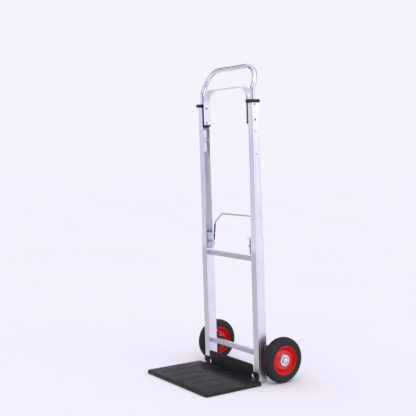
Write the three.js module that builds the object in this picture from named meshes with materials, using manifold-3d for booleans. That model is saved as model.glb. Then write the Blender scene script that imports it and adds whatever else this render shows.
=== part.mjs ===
// Folding hand truck with telescoping rails, a hinged toe plate and two swing-in wheels.
// Millimetres, +Z up, the toe plate points to -Y. "right" is +X and "left" is -X.
// The origin is the middle of the object's footprint on the floor.
import * as THREE from 'three';
import { mergeVertices } from 'three/addons/utils/BufferGeometryUtils.js';
import Module from 'manifold-3d';

const wasm = await Module();
wasm.setup();

// ---------- driving dimensions ----------
const LEAN_DEG = 2.2;             // the rails lean forward over the toe plate
const GAP = 0.3;                  // clearance between pieces that touch

const RAIL = { outer: 180.5, width: 31, depth: 41, wall: 2, bottom: 6, top: 571 };
const CHANNEL = { outer: 178, width: 26, front: 2.25, depth: 36.5, wall: 2, bottom: 452, top: 1093 };
const GROOVE = { width: 1.4, depth: 0.6, inset: 8.5 };
const STROKE = 416;               // how far the upper frame slides down

const CROSSBAR = { height: 20, depth: 20, front: 10.5, wall: 1.6, upperTop: 497.5, lowerTop: 123 };

const HANDLE = { legX: 164, legY: 16.5, radius: 9.5, wall: 1.5, bottom: 1014, top: 1241, corner: 74 };
const HANDLE_SWEEP = { from: 1148, slope: 0.38 };   // the grip is set back above the caps
const ARCH = { face: 139.7, thick: 3, front: 3, depth: 32, bottom: 1020, spring: 1110, corner: 50 };
const CLAMP = { inner: 159.5, front: 11, back: 26, low: 967, high: 999, stud: 3.5, studTop: 1012 };
const CAP = { height: 12.7, front: -7.5, back: 40.2, side: 1, coreLow: 1010 };
const CHEEK = { front: 9, ledgeFront: 3, back: 36, low: 1014 };
const RIVET = { radius: 2.5, head: 4.5, headHeight: 1.5, heights: [1028, 1087] };

const LOCK = { y: 18, s: 536, radius: 4, tip: 158.6, travel: 9 };
const HOUSING = { inner: 126, sheet: 2, flange: 2.5, front: 12.5, back: 24, low: 505, high: 570 };
const HOUSING_ROOF = { inner: 122, front: 3, back: 27 };
const STRIKER = { width: 14, sheet: 2, bridge: 159, footLow: -62, legLow: -48, rise: 7, top: 12 };
const SPRING = { radius: 5, wire: 0.55, turns: 5, stepsPerTurn: 8, clear: 0.9 };
const COLLAR = { radius: 7.5, inner: 143.6, outer: 146 };

const BAIL = { legX: 140, y: 31.5, s: 512, radius: 2.5 };
const BAIL_TOP = { kneeS: 612, kneeY: 43, topX: 96, topS: 650, topY: 47 };
const BEND = { foot: 3, knee: 14 };
const SLEEVE = { low: 522, high: 606, radius: 3.5 };

const TOE = { half: 210.5, front: -277, back: -21, height: 14, sheet: 2, roll: 4 };
const TOE_EAR = { from: 187, back: -7.5 };
const TOE_SWAGE = { xs: [-140, -70, 0, 70, 140], length: 180, radius: 5, depth: 1, middle: -150 };
const HINGE = { y: -14, z: 8, rod: 3, bore: 3.4, knuckle: 6, half: 186 };
const TOE_KNUCKLES = [[-184, -150], [-60, 60], [150, 184]];
const BASE_KNUCKLES = [[-149, -61], [61, 149]];
const BASE = { back: -GAP, thick: 2.6, low: 4, sideHigh: 42, high: 71, side: 182, tallSide: 147 };
const BASE_SLOT = { xs: [-142, 142], s: 24, halfWidth: 6, halfHeight: 8 };

const WHEEL = { x: 217.5, y: 86, z: 90, tyreRadius: 90, tyreHalf: 23.5, rimRadius: 59 };
const SWING = { x: 165, y: 52, low: 36, high: 140, pin: 4, bore: 4.3, barrel: 7.5, ear: 5 };
const ARM = { face: 183, sheet: 3, low: 50, high: 126, bossRadius: 22 };
const AXLE = { radius: 6, end: 238.6 };

// ---------- materials ----------
function finish(color, roughness, metalness) {
  return new THREE.MeshStandardMaterial({ color, roughness, metalness });
}
const ANODISED = finish(0xc9c9d6, 0.42, 0.9);
const CHROME = finish(0xd9dbe2, 0.08, 1.0);
const ZINC = finish(0xb9c3cf, 0.35, 0.9);
const BLACK_STEEL = finish(0x1d1d20, 0.55, 0.4);
const BLACK_PLASTIC = finish(0x17171a, 0.6, 0.0);
const RED_STEEL = finish(0xd8262c, 0.35, 0.2);
const RUBBER = finish(0x2b2b2f, 0.8, 0.0);
const NYLON = finish(0xe6e4dc, 0.5, 0.0);

// ---------- frames of reference ----------
const group = new THREE.Group();
group.position.y = -(TOE.front + WHEEL.y + WHEEL.tyreRadius) / 2;
const leaning = new THREE.Group();      // holds all that leans with the rails; its z runs along them
const lean = THREE.MathUtils.degToRad(LEAN_DEG);
leaning.rotation.x = lean;
group.add(leaning);

const alongRails = (y, z) => ({
  y: y * Math.cos(lean) + z * Math.sin(lean),
  s: z * Math.cos(lean) - y * Math.sin(lean),
});

// ---------- shaping helpers ----------
function solid(geometry) {
  const bare = geometry.clone();
  bare.deleteAttribute('normal');
  bare.deleteAttribute('uv');
  const merged = mergeVertices(bare, 1e-4);
  return new wasm.Manifold(new wasm.Mesh({
    numProp: 3,
    vertProperties: new Float32Array(merged.attributes.position.array),
    triVerts: new Uint32Array(merged.index.array),
  }));
}

function joined(...geometries) {
  return geometries.map(solid).reduce((whole, piece) => whole.add(piece));
}

function cut(body, ...geometries) {
  return geometries.map(solid).reduce((whole, piece) => whole.subtract(piece), body);
}

function geometryOf(body) {
  const { vertProperties, triVerts } = body.getMesh();
  const geometry = new THREE.BufferGeometry();
  geometry.setAttribute('position', new THREE.BufferAttribute(vertProperties, 3));
  geometry.setIndex(new THREE.BufferAttribute(triVerts, 1));
  geometry.computeVertexNormals();
  return geometry;
}

function mirrored(geometry) {
  const other = geometry.index ? geometry.clone() : mergeVertices(geometry);
  other.scale(-1, 1, 1);
  const corners = other.index.array;
  for (let i = 0; i < corners.length; i += 3) {
    [corners[i], corners[i + 1]] = [corners[i + 1], corners[i]];
  }
  return other;
}

function add(name, geometry, material, parent = leaning) {
  const mesh = new THREE.Mesh(geometry, material);
  mesh.name = name;
  parent.add(mesh);
}

function addPair(name, rightGeometry, material, parent = leaning) {
  add(`right_${name}`, rightGeometry, material, parent);
  add(`left_${name}`, mirrored(rightGeometry), material, parent);
}

function block(x0, x1, y0, y1, z0, z1) {
  return new THREE.BoxGeometry(x1 - x0, y1 - y0, z1 - z0)
    .translate((x0 + x1) / 2, (y0 + y1) / 2, (z0 + z1) / 2);
}

function rodX(x0, x1, y, z, radius, sides = 12) {
  return new THREE.CylinderGeometry(radius, radius, x1 - x0, sides)
    .rotateZ(-Math.PI / 2).translate((x0 + x1) / 2, y, z);
}

function rodZ(z0, z1, x, y, radius, sides = 14) {
  return new THREE.CylinderGeometry(radius, radius, z1 - z0, sides)
    .rotateX(Math.PI / 2).translate(x, y, (z0 + z1) / 2);
}

// a closed outline of [radius, x] pairs, either way round, spun about the X axis
function spunX(outline, sides) {
  const points = outline.map(([r, x]) => new THREE.Vector2(r, x));
  if (THREE.ShapeUtils.isClockWise(points)) points.reverse();
  return new THREE.LatheGeometry([...points, points[0]], sides).rotateZ(-Math.PI / 2);
}

function outlineShape(points) {
  return new THREE.Shape(points.map(([x, y]) => new THREE.Vector2(x, y)));
}

function roundedRectangle(x0, x1, y0, y1, r) {
  const shape = new THREE.Shape();
  shape.moveTo(x0 + r, y0).lineTo(x1 - r, y0).absarc(x1 - r, y0 + r, r, -Math.PI / 2, 0);
  shape.lineTo(x1, y1 - r).absarc(x1 - r, y1 - r, r, 0, Math.PI / 2);
  shape.lineTo(x0 + r, y1).absarc(x0 + r, y1 - r, r, Math.PI / 2, Math.PI);
  shape.lineTo(x0, y0 + r).absarc(x0 + r, y0 + r, r, Math.PI, Math.PI * 1.5);
  return shape;
}

function prism(shape, depth, curveSegments = 4) {
  return new THREE.ExtrudeGeometry(shape, { depth, bevelEnabled: false, curveSegments });
}

// a shape drawn in (x, s), given a thickness along +Y from y0
function uprightPrism(shape, y0, thick, curveSegments) {
  return prism(shape, thick, curveSegments).rotateX(Math.PI / 2).translate(0, y0 + thick, 0);
}

// A path that passes exactly through its points, one step of a sweep to each.
class PointPath extends THREE.Curve {
  constructor(points) {
    super();
    this.points = points;
  }

  getPointAt(u) {
    const place = u * (this.points.length - 1);
    const before = Math.min(Math.floor(place), this.points.length - 2);
    return this.points[before].clone().lerp(this.points[before + 1], place - before);
  }

  getTangentAt(u) {
    const step = 0.5 / (this.points.length - 1);
    const ahead = this.getPointAt(Math.min(1, u + step));
    return ahead.sub(this.getPointAt(Math.max(0, u - step))).normalize();
  }
}

// straight runs joined by true arcs, with one radius for each inner corner
function filletedPoints(corners, radii, arcSteps) {
  const points = [corners[0]];
  for (let i = 1; i < corners.length - 1; i += 1) {
    const back = corners[i - 1].clone().sub(corners[i]).normalize();
    const on = corners[i + 1].clone().sub(corners[i]).normalize();
    const half = back.angleTo(on) / 2;
    const radius = radii[i - 1];
    const reach = radius / Math.tan(half);
    const inwards = back.clone().add(on).normalize();
    const centre = corners[i].clone().addScaledVector(inwards, radius / Math.sin(half));
    const start = corners[i].clone().addScaledVector(back, reach).sub(centre);
    const end = corners[i].clone().addScaledVector(on, reach).sub(centre);
    const sweep = start.angleTo(end);
    for (let k = 0; k <= arcSteps; k += 1) {
      const t = k / arcSteps;
      const a = Math.sin((1 - t) * sweep) / Math.sin(sweep);
      const b = Math.sin(t * sweep) / Math.sin(sweep);
      points.push(centre.clone().addScaledVector(start, a).addScaledVector(end, b));
    }
  }
  points.push(corners[corners.length - 1]);
  return points;
}

function sweep(points, radius, sides, boreRadius = 0) {
  const ring = (r) => new THREE.EllipseCurve(0, 0, r, r).getPoints(sides).slice(0, sides);
  const shape = new THREE.Shape(ring(radius));
  if (boreRadius > 0) shape.holes.push(new THREE.Path(ring(boreRadius)));
  return new THREE.ExtrudeGeometry(shape, { steps: points.length - 1, extrudePath: new PointPath(points) });
}

// ---------- rails ----------
// walls of a rail section; grooves run down its outer face
function railOutline(x0, x1, y0, y1) {
  const { width, depth, inset } = GROOVE;
  const edge = 1;
  const points = [[x0 + edge, y0], [x1 - edge, y0], [x1, y0 + edge]];
  for (const y of [y0 + inset, y1 - inset]) {
    const sides = [y - width / 2, y + width / 2];
    points.push([x1, sides[0]], [x1 - depth, sides[0]], [x1 - depth, sides[1]], [x1, sides[1]]);
  }
  points.push([x1, y1 - edge], [x1 - edge, y1], [x0 + edge, y1], [x0, y1 - edge], [x0, y0 + edge]);
  return points;
}

function lowerRail() {
  const { outer, width, depth, wall, bottom, top } = RAIL;
  const inner = outer - width;
  const shape = outlineShape(railOutline(inner, outer, 0, depth));
  shape.holes.push(outlineShape([
    [inner + wall, wall], [outer - wall, wall], [outer - wall, depth - wall], [inner + wall, depth - wall],
  ]));
  const tube = prism(shape, top - bottom).translate(0, 0, bottom);
  const pinHole = rodX(inner - 1, inner + wall + 0.3, LOCK.y, LOCK.s, LOCK.radius + 0.6);
  const bailHole = rodX(inner - 1, inner + wall + 0.3, BAIL.y, BAIL.s, BAIL.radius + 0.4, 12);
  return geometryOf(cut(solid(tube), pinHole, bailHole));
}

function upperRail() {
  const { outer, width, front, depth, wall, bottom, top } = CHANNEL;
  const mouth = outer - width;
  const back = front + depth;
  const outside = railOutline(mouth, outer, front, back).filter(([x]) => x > mouth + 1.5);
  const shape = outlineShape([
    [mouth, front], ...outside, [mouth, back], [mouth, back - wall],
    [outer - wall, back - wall], [outer - wall, front + wall], [mouth, front + wall],
  ]);
  const channel = prism(shape, top - bottom).translate(0, 0, bottom);
  const shank = RIVET.radius + 0.4;
  const rivetHoles = RIVET.heights.map((s) => rodX(outer - wall - 1, outer + 1, HANDLE.legY, s, shank, 8));
  return geometryOf(cut(solid(channel), ...rivetHoles));
}

function slideShoe() {
  const { outer, width, front, depth, wall, bottom } = CHANNEL;
  const mouth = outer - width;
  const inset = wall + GAP;
  const body = block(mouth + 1, outer - inset, front + inset, front + depth - inset, bottom - 2, bottom + 18);
  const lip = block(mouth + GAP, outer, front, front + depth, bottom - 4, bottom - GAP);
  return geometryOf(joined(body, lip));
}

function railFoot() {
  const { outer, width, depth, wall, bottom } = RAIL;
  const inner = outer - width;
  const clear = wall + GAP;
  const flange = prism(roundedRectangle(inner, outer, 0, depth, 2), 3.7).translate(0, 0, bottom - 4);
  const plug = block(inner + clear, outer - clear, clear, depth - clear, bottom - 1, bottom + 16);
  return geometryOf(joined(flange, plug));
}

function crossbar(top) {
  const { height, depth, front, wall } = CROSSBAR;
  const half = RAIL.outer - RAIL.width - GAP;
  const shape = roundedRectangle(front, front + depth, top - height, top, 4);
  const bore = roundedRectangle(front + wall, front + depth - wall, top - height + wall, top - wall, 2.6);
  shape.holes.push(new THREE.Path(bore.getPoints(4)));
  // the section is drawn in (y, s); turning it sets its length along X
  return prism(shape, 2 * half).rotateX(Math.PI / 2).rotateZ(Math.PI / 2).translate(-half, 0, 0);
}

// ---------- grip, arch and the caps that hold them ----------
function handleCentreline() {
  const { legX, legY, bottom, top, corner } = HANDLE;
  const setBack = (s) => legY + Math.max(0, s - HANDLE_SWEEP.from) * HANDLE_SWEEP.slope;
  const points = [];
  const bendSteps = 6;
  for (const s of [bottom, HANDLE_SWEEP.from - 6, HANDLE_SWEEP.from + 6, top - corner]) {
    points.push([legX, s]);
  }
  for (let k = 1; k <= bendSteps; k += 1) {
    const turn = (k / bendSteps) * (Math.PI / 2);
    points.push([legX - corner + corner * Math.cos(turn), top - corner + corner * Math.sin(turn)]);
  }
  const right = points.map(([x, s]) => new THREE.Vector3(x, setBack(s), s));
  const left = right.map((p) => new THREE.Vector3(-p.x, p.y, p.z)).reverse();
  return [...right, ...left];
}

function handleTube() {
  const { legX, legY, radius, wall } = HANDLE;
  const tube = solid(sweep(handleCentreline(), radius, 12, radius - wall));
  const holes = [];
  for (const side of [-1, 1]) {
    for (const s of RIVET.heights) {
      holes.push(rodX(side * legX - 15, side * legX + 15, legY, s, RIVET.radius + 0.4, 8));
    }
  }
  return geometryOf(cut(tube, ...holes));
}

function archBrace() {
  const { face, thick, front, depth, bottom, spring, corner } = ARCH;
  const outer = face + thick;
  const shape = new THREE.Shape();
  shape.moveTo(outer, bottom).lineTo(outer, spring);
  shape.absarc(outer - corner, spring, corner, 0, Math.PI / 2).lineTo(-(outer - corner), spring + corner);
  shape.absarc(-(outer - corner), spring, corner, Math.PI / 2, Math.PI).lineTo(-outer, bottom);
  shape.lineTo(-face, bottom).lineTo(-face, spring);
  shape.absarc(-(outer - corner), spring, corner - thick, Math.PI, Math.PI / 2, true);
  shape.lineTo(outer - corner, spring + corner - thick);
  shape.absarc(outer - corner, spring, corner - thick, Math.PI / 2, 0, true).lineTo(face, bottom);
  const strap = solid(uprightPrism(shape, front, depth, 7));
  const holes = RIVET.heights.map((s) => rodX(-face - 5, face + 5, HANDLE.legY, s, RIVET.radius + 0.4, 8));
  return geometryOf(cut(strap, ...holes));
}

// lid, core inside the channel, cheek behind the arch's leg and the ledge under its end
function railCap() {
  const { outer, width, front, depth, wall, top } = CHANNEL;
  const { coreLow, height } = CAP;
  const { front: cheekFront, ledgeFront, back: cheekBack, low: cheekLow } = CHEEK;
  const { legX, legY, radius, bottom } = HANDLE;
  const mouth = outer - width;
  const inset = wall + GAP;
  const backplate = ARCH.face + ARCH.thick + GAP;
  const lid = block(mouth - CAP.side, outer + CAP.side, CAP.front, CAP.back, top + GAP, top + height);
  const core = block(mouth - 1, outer - inset, front + inset, front + depth - inset, coreLow, top + 2);
  const cheek = block(backplate, mouth - GAP, cheekFront, cheekBack, cheekLow, top + height);
  const ledge = block(ARCH.face, mouth - GAP, ledgeFront, cheekBack, cheekLow, ARCH.bottom - GAP);
  const tubeBore = rodZ(bottom - GAP, top + height + 5, legX, legY, radius + GAP, 16);
  const studBore = rodZ(coreLow - 5, bottom, legX, legY, CLAMP.stud + GAP, 10);
  const shank = RIVET.radius + 0.4;
  const rivetHoles = RIVET.heights.map((s) => rodX(backplate - 2, outer, legY, s, shank, 8));
  return geometryOf(cut(joined(lid, core, cheek, ledge), tubeBore, studBore, ...rivetHoles));
}

// block riveted inside the channel, whose stud holds the cap from below
function gripClamp() {
  const { inner, front, back, low, high, stud, studTop } = CLAMP;
  const web = CHANNEL.outer - CHANNEL.wall - GAP;
  const body = block(inner, web, front, back, low, high);
  return geometryOf(joined(body, rodZ(high - 1, studTop, HANDLE.legX, HANDLE.legY, stud, 10)));
}

function handleRivet(s) {
  const { radius, head, headHeight } = RIVET;
  const insideFace = ARCH.face - GAP;
  const outsideFace = CHANNEL.outer + GAP;
  const shank = rodX(insideFace - 0.5, outsideFace + 0.5, HANDLE.legY, s, radius, 8);
  const innerHead = rodX(insideFace - headHeight, insideFace, HANDLE.legY, s, head, 10);
  const outerHead = rodX(outsideFace, outsideFace + headHeight, HANDLE.legY, s, head, 10);
  return geometryOf(joined(shank, innerHead, outerHead));
}

// ---------- slide lock ----------
// a cranked strip riveted to the channel's web; the lock pin's hole is in its raised end
function striker(holeS) {
  const { width, sheet, bridge, footLow, legLow, rise, top } = STRIKER;
  const web = CHANNEL.outer - CHANNEL.wall - GAP;
  const foot = holeS + footLow;
  const leg = holeS + legLow;
  const end = holeS + top;
  const bendDrop = 1.2;           // keeps the sheet's thickness round both bends
  const shape = outlineShape([
    [web, foot], [web, leg], [bridge + sheet, leg + rise], [bridge + sheet, end],
    [bridge, end], [bridge, leg + rise - bendDrop], [web - sheet, leg - bendDrop], [web - sheet, foot],
  ]);
  const strip = solid(uprightPrism(shape, LOCK.y - width / 2, width));
  return geometryOf(cut(strip, rodX(bridge - 1, bridge + sheet + 1, LOCK.y, holeS, LOCK.radius + 0.8)));
}

function lockHousing() {
  const { inner, sheet, flange, front, back, low, high } = HOUSING;
  const face = RAIL.outer - RAIL.width - GAP;
  const base = block(face - sheet, face, HOUSING_ROOF.front, HOUSING_ROOF.back, low, high);
  const roof = block(HOUSING_ROOF.inner, face, HOUSING_ROOF.front, HOUSING_ROOF.back, high - flange, high);
  const floor = block(inner, face, front, back, low, low + flange);
  const bridge = block(inner, inner + sheet, front, back, low, high);
  const pinHole = rodX(face - sheet - 1, face + 1, LOCK.y, LOCK.s, LOCK.radius + 0.6);
  const tailHole = rodX(inner - 1, inner + sheet + 1, LOCK.y, LOCK.s, 3);
  return geometryOf(cut(joined(base, roof, floor, bridge), pinHole, tailHole));
}

// tail button, tail, spring collar and pin, as [radius, x]
function lockPin() {
  const { tip, radius } = LOCK;
  const { radius: collar, inner, outer } = COLLAR;
  return spunX([
    [0, 117.5], [4.2, 117.5], [5, 118.3], [5, 120.7], [4.2, 121.5], [2.6, 121.5], [2.6, inner],
    [collar, inner], [collar, outer], [radius, outer], [radius, tip - 1], [radius - 1, tip], [0, tip],
  ], 12).translate(0, LOCK.y, LOCK.s);
}

function lockSpring() {
  const { radius, wire, turns, stepsPerTurn, clear } = SPRING;
  const from = HOUSING.inner + HOUSING.sheet + clear;
  const length = COLLAR.inner - clear - from;
  const steps = turns * stepsPerTurn;
  const points = [];
  for (let k = 0; k <= steps; k += 1) {
    const angle = (k / stepsPerTurn) * 2 * Math.PI;
    const x = from + (length * k) / steps;
    points.push(new THREE.Vector3(x, LOCK.y + radius * Math.cos(angle), LOCK.s + radius * Math.sin(angle)));
  }
  return sweep(points, wire, 4);
}

// ---------- release bail ----------
function bailCentreline() {
  const { legX, y, s } = BAIL;
  const { kneeS, kneeY, topX, topS, topY } = BAIL_TOP;
  const foot = RAIL.outer - RAIL.width + RAIL.wall - 0.3;
  const side = (sign) => [
    new THREE.Vector3(sign * foot, y, s), new THREE.Vector3(sign * legX, y, s),
    new THREE.Vector3(sign * legX, kneeY, kneeS), new THREE.Vector3(sign * topX, topY, topS),
  ];
  const { foot: footBend, knee } = BEND;
  return filletedPoints([...side(1), ...side(-1).reverse()], [footBend, knee, knee, knee, knee, footBend], 4);
}

function bailSleeve() {
  const { legX, y, s } = BAIL;
  const { kneeS, kneeY } = BAIL_TOP;
  const along = (height) => new THREE.Vector3(legX, y + ((kneeY - y) * (height - s)) / (kneeS - s), height);
  const ends = [along(SLEEVE.low), along(SLEEVE.high)];
  return sweep(ends, SLEEVE.radius, 10, BAIL.radius + 0.3);
}

// ramp disc on the bail's foot that draws the lock pin back
function releaseCam() {
  const disc = rodX(143.8, 147.2, BAIL.y, BAIL.s, 5.6, 12);
  return geometryOf(cut(solid(disc), rodX(140, 150, BAIL.y, BAIL.s, BAIL.radius + 0.3, 12)));
}

// ---------- toe plate and its hinge ----------
function toePlate() {
  const { half, front, back, height, sheet, roll } = TOE;
  const { from: earFrom, back: earBack } = TOE_EAR;
  const corner = 9;
  const outline = roundedRectangle(-half + roll, half - roll, front + roll, earBack - roll, corner);
  const slab = new THREE.ExtrudeGeometry(outline, {
    depth: height,
    bevelEnabled: true,
    bevelThickness: roll,
    bevelSize: roll,
    bevelSegments: 3,
    curveSegments: 5,
  }).translate(0, 0, -roll);
  const hollow = roundedRectangle(-half + sheet, half - sheet, front + sheet, back - 4, corner + sheet);
  const pocket = prism(hollow, height - sheet + 20).translate(0, 0, -20);
  const below = block(-half - 5, half + 5, front - 5, earBack + 5, -height, 0);
  const notch = block(-earFrom, earFrom, back, earBack + 5, -5, height + 5);
  let plate = cut(solid(slab), pocket, below, notch);
  for (const x of TOE_SWAGE.xs) {
    const { length, radius, depth, middle } = TOE_SWAGE;
    const press = new THREE.CapsuleGeometry(radius, length, 2, 12);
    plate = cut(plate, press.scale(1, 1, depth / radius).translate(x, middle, height));
  }
  for (const [x0, x1] of TOE_KNUCKLES) {
    const barrel = rodX(x0, x1, HINGE.y, HINGE.z, HINGE.knuckle);
    const web = block(x0, x1, back - 2, HINGE.y, HINGE.z + 1, HINGE.z + HINGE.knuckle);
    plate = cut(plate.add(joined(barrel, web)), rodX(x0 - 1, x1 + 1, HINGE.y, HINGE.z, HINGE.bore));
  }
  return geometryOf(plate);
}

function basePlate() {
  const { back, thick, low, sideHigh, high, side, tallSide } = BASE;
  const { xs, s: slotS, halfWidth, halfHeight } = BASE_SLOT;
  const hinge = alongRails(HINGE.y, HINGE.z);
  const [step, wing, crown] = [low + 14, 8, 10];    // side flange's lower edge, and both corner radii
  const quarter = Math.PI / 2;
  const shape = new THREE.Shape();
  shape.moveTo(-side, step).lineTo(-tallSide - 2, step).lineTo(-tallSide - 2, low);
  shape.lineTo(tallSide + 2, low).lineTo(tallSide + 2, step).lineTo(side, step).lineTo(side, sideHigh - wing);
  shape.absarc(side - wing, sideHigh - wing, wing, 0, quarter).lineTo(tallSide, sideHigh);
  shape.lineTo(tallSide, high - crown).absarc(tallSide - crown, high - crown, crown, 0, quarter);
  shape.lineTo(-tallSide + crown, high).absarc(-tallSide + crown, high - crown, crown, quarter, Math.PI);
  shape.lineTo(-tallSide, sideHigh).lineTo(-side + wing, sideHigh);
  shape.absarc(-side + wing, sideHigh - wing, wing, quarter, Math.PI);
  for (const x of xs) {
    shape.holes.push(new THREE.Path().absellipse(x, slotS, halfWidth, halfHeight, 0, Math.PI * 2, true));
  }
  let plate = solid(uprightPrism(shape, back - thick, thick, 6));
  for (const [x0, x1] of BASE_KNUCKLES) {
    const barrel = rodX(x0, x1, hinge.y, hinge.s, HINGE.knuckle);
    const web = block(x0, x1, hinge.y, back - 0.5, hinge.s + 3, hinge.s + HINGE.knuckle);
    plate = cut(plate.add(joined(barrel, web)), rodX(x0 - 1, x1 + 1, hinge.y, hinge.s, HINGE.bore));
  }
  return geometryOf(plate);
}

// ---------- wheel arms, which swing on a pin behind each rail ----------
function wheelHinge() {
  const { x, y, low, high, bore, ear } = SWING;
  const wall = RAIL.depth + GAP;
  const leaf = block(x - 12.5, x + 12.5, wall, wall + 2.5, low, high);
  const ears = [low, high - ear].map((s) => {
    const lug = new THREE.Shape();
    lug.moveTo(x - 9, wall + 1).lineTo(x + 9, wall + 1).lineTo(x + 9, y);
    lug.absarc(x, y, 9, 0, Math.PI);
    return prism(lug, ear, 8).translate(0, 0, s);
  });
  return geometryOf(cut(joined(leaf, ...ears), rodZ(low - 1, high + 1, x, y, bore)));
}

function swingPin() {
  const { x, y, low, high, pin } = SWING;
  return geometryOf(joined(rodZ(low - 3, high + 2, x, y, pin), rodZ(high + GAP, high + 3, x, y, pin + 2.5)));
}

function wheelArm() {
  const { x, y, low, high, barrel, bore, ear } = SWING;
  const { face, sheet, low: armLow, high: armHigh, bossRadius } = ARM;
  const axle = alongRails(WHEEL.y, WHEEL.z);
  const tube = rodZ(low + ear + 0.5, high - ear - 0.5, x, y, barrel);
  const web = block(x + 2, face + sheet, y - 3.5, y - 0.5, armLow, armHigh);
  // side plate drawn in (y, s) around the axle
  const plate = new THREE.Shape();
  plate.moveTo(y - 3.5, armLow).lineTo(y + 6, armLow).lineTo(axle.y, axle.s - bossRadius);
  plate.absarc(axle.y, axle.s, bossRadius, -Math.PI / 2, Math.PI / 2);
  plate.lineTo(y + 6, armHigh).lineTo(y - 3.5, armHigh);
  const side = prism(plate, sheet, 8).rotateX(Math.PI / 2).rotateZ(Math.PI / 2).translate(face, 0, 0);
  const body = cut(joined(tube, web, side), rodZ(low, high, x, y, bore));
  return geometryOf(cut(body, rodX(face - 2, face + sheet + 2, axle.y, axle.s, AXLE.radius + GAP)));
}

// ---------- wheels, in the upright frame ----------
const atWheel = (geometry) => geometry.translate(0, WHEEL.y, WHEEL.z);

function stubAxle() {
  const { face, sheet } = ARM;
  return atWheel(spunX([
    [0, face - 3.6], [8, face - 3.6], [9.5, face - 2.6], [9.5, face - GAP], [AXLE.radius, face - GAP],
    [AXLE.radius, AXLE.end - 1], [AXLE.radius - 1, AXLE.end], [0, AXLE.end],
  ], 14));
}

function tyre() {
  const half = WHEEL.tyreHalf;
  const bead = WHEEL.rimRadius + GAP;
  const R = WHEEL.tyreRadius;
  const wall = [[bead, half - 4], [63, half - 1.8], [70, half], [77, half - 0.8]];
  const shoulder = [[82.5, half - 4.2], [86.8, half - 9], [89.2, half - 15], [R, half - 20.5]];
  const side = [...wall, ...shoulder];
  const outline = [...side, ...side.map(([r, x]) => [r, -x]).reverse()];
  return atWheel(spunX(outline.map(([r, x]) => [r, x + WHEEL.x]), 36));
}

// one pressed half of the two-piece rim; its mirror image is the other half
function rimHalf(facing) {
  const R = WHEEL.rimRadius;
  const outline = [
    [R, 18], [R - 2.2, 18], [52, 10], [43, 8.5], [39, 12], [14.4, 13], [14.4, 11],
    [38, 10], [42, 6.3], [54, 8.3], [R - 2.4, 0.3], [R - 0.4, 0.3],
  ];
  return atWheel(spunX(outline.map(([r, x]) => [r, facing * x + WHEEL.x]), 24));
}

function wheelHub() {
  const outline = [
    [9.7, -24.5], [14, -24.5], [14, -15.5], [22.5, -15.5], [22.5, -13.3], [14, -13.3],
    [14, 13.3], [22.5, 13.3], [22.5, 15.5], [14, 15.5], [14, 18.5], [9.7, 18.5],
  ];
  return atWheel(spunX(outline.map(([r, x]) => [r, x + WHEEL.x]), 16));
}

function wheelRing(bore, radius, x0, x1) {
  return atWheel(spunX([[bore, x0], [radius, x0], [radius, x1], [bore, x1]], 16));
}

function axleCap() {
  const bore = AXLE.radius + GAP;
  return atWheel(spunX([
    [0, 241], [6.5, 241], [8.6, 240], [9.2, 238.3], [bore, 238.3], [bore, 239], [0, 239],
  ], 14));
}

// ---------- the assembly ----------
addPair('lower_rail', lowerRail(), ANODISED);
addPair('rail_foot', railFoot(), NYLON);
add('upper_crossbar', crossbar(CROSSBAR.upperTop), ANODISED);
add('lower_crossbar', crossbar(CROSSBAR.lowerTop), ANODISED);
add('base_plate', basePlate(), BLACK_STEEL);

addPair('upper_rail', upperRail(), ANODISED);
addPair('slide_shoe', slideShoe(), NYLON);
addPair('rail_cap', railCap(), BLACK_PLASTIC);
addPair('grip_clamp', gripClamp(), ZINC);
add('handle_tube', handleTube(), CHROME);
add('arch_brace', archBrace(), ANODISED);
addPair('lower_handle_rivet', handleRivet(RIVET.heights[0]), ZINC);
addPair('upper_handle_rivet', handleRivet(RIVET.heights[1]), ZINC);

addPair('upper_striker', striker(LOCK.s + STROKE), ZINC);
addPair('lower_striker', striker(LOCK.s), ZINC);
addPair('lock_housing', lockHousing(), ZINC);
addPair('lock_pin', lockPin(), ZINC);
addPair('lock_spring', lockSpring(), ZINC);

add('bail_wire', sweep(bailCentreline(), BAIL.radius, 8), ZINC);
addPair('bail_sleeve', bailSleeve(), BLACK_PLASTIC);
addPair('release_cam', releaseCam(), ZINC);

add('toe_plate', toePlate(), BLACK_STEEL, group);
add('toe_hinge_rod', rodX(-HINGE.half, HINGE.half, HINGE.y, HINGE.z, HINGE.rod), ZINC, group);

addPair('wheel_hinge', wheelHinge(), BLACK_STEEL);
addPair('swing_pin', swingPin(), ZINC);
addPair('wheel_arm', wheelArm(), BLACK_STEEL);
addPair('stub_axle', stubAxle(), ZINC, group);
addPair('tyre', tyre(), RUBBER, group);
addPair('outer_rim', rimHalf(1), RED_STEEL, group);
addPair('inner_rim', rimHalf(-1), RED_STEEL, group);
addPair('wheel_hub', wheelHub(), ZINC, group);
addPair('wheel_bush', wheelRing(AXLE.radius + 0.25, 9.4, WHEEL.x - 23.5, WHEEL.x + 17.5), NYLON, group);
addPair('axle_washer', wheelRing(AXLE.radius + 0.4, 11, 236.4, 237.9), ZINC, group);
addPair('axle_cap', axleCap(), ZINC, group);

export default group;
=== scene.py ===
"""Looks of a folding hand truck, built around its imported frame.

Metres in the scene, millimetres in the sizes below. +Z is up and the toe plate points to -Y.
Most pieces are drawn in the rails' own frame, which leans forward; its third axis runs up the rails.
"""
import math

import bmesh
import bpy
from mathutils import Matrix, Vector


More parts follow.
